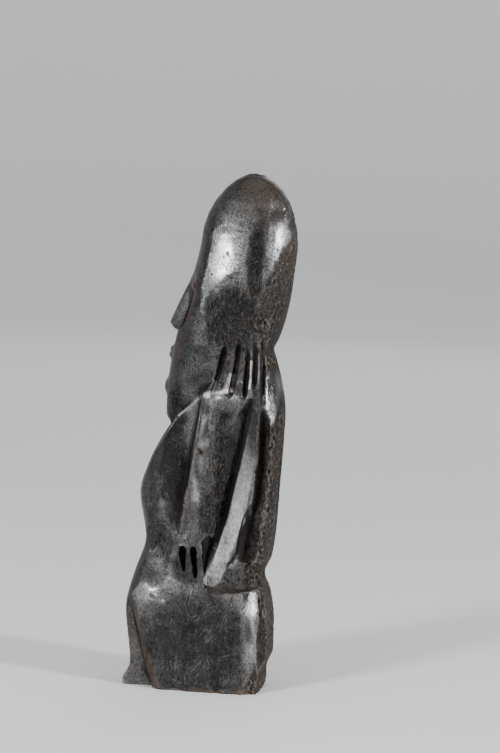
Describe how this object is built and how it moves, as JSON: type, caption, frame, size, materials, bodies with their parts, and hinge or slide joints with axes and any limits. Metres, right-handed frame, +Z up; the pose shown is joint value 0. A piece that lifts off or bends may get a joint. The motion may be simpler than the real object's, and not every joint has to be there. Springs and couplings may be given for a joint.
{
  "type": "carved bone figure",
  "caption": "Dark polished bone carving of a seated figure with drawn-up knees, arms along the sides and a tall egg-shaped head above a fluted nape.",
  "frame": {"origin": "middle of the underside's bounding box, on the surface that the figure stands on", "axes": "+Z up the figure's height, the figure faces -Y and its left side is towards +X"},
  "size_m": [0.0188, 0.0298, 0.1],
  "materials": {
    "dark_bone": "satin"
  },
  "bodies": {
    "root": {"carved_bone_figure": "dark_bone"}
  },
  "joints": []
}
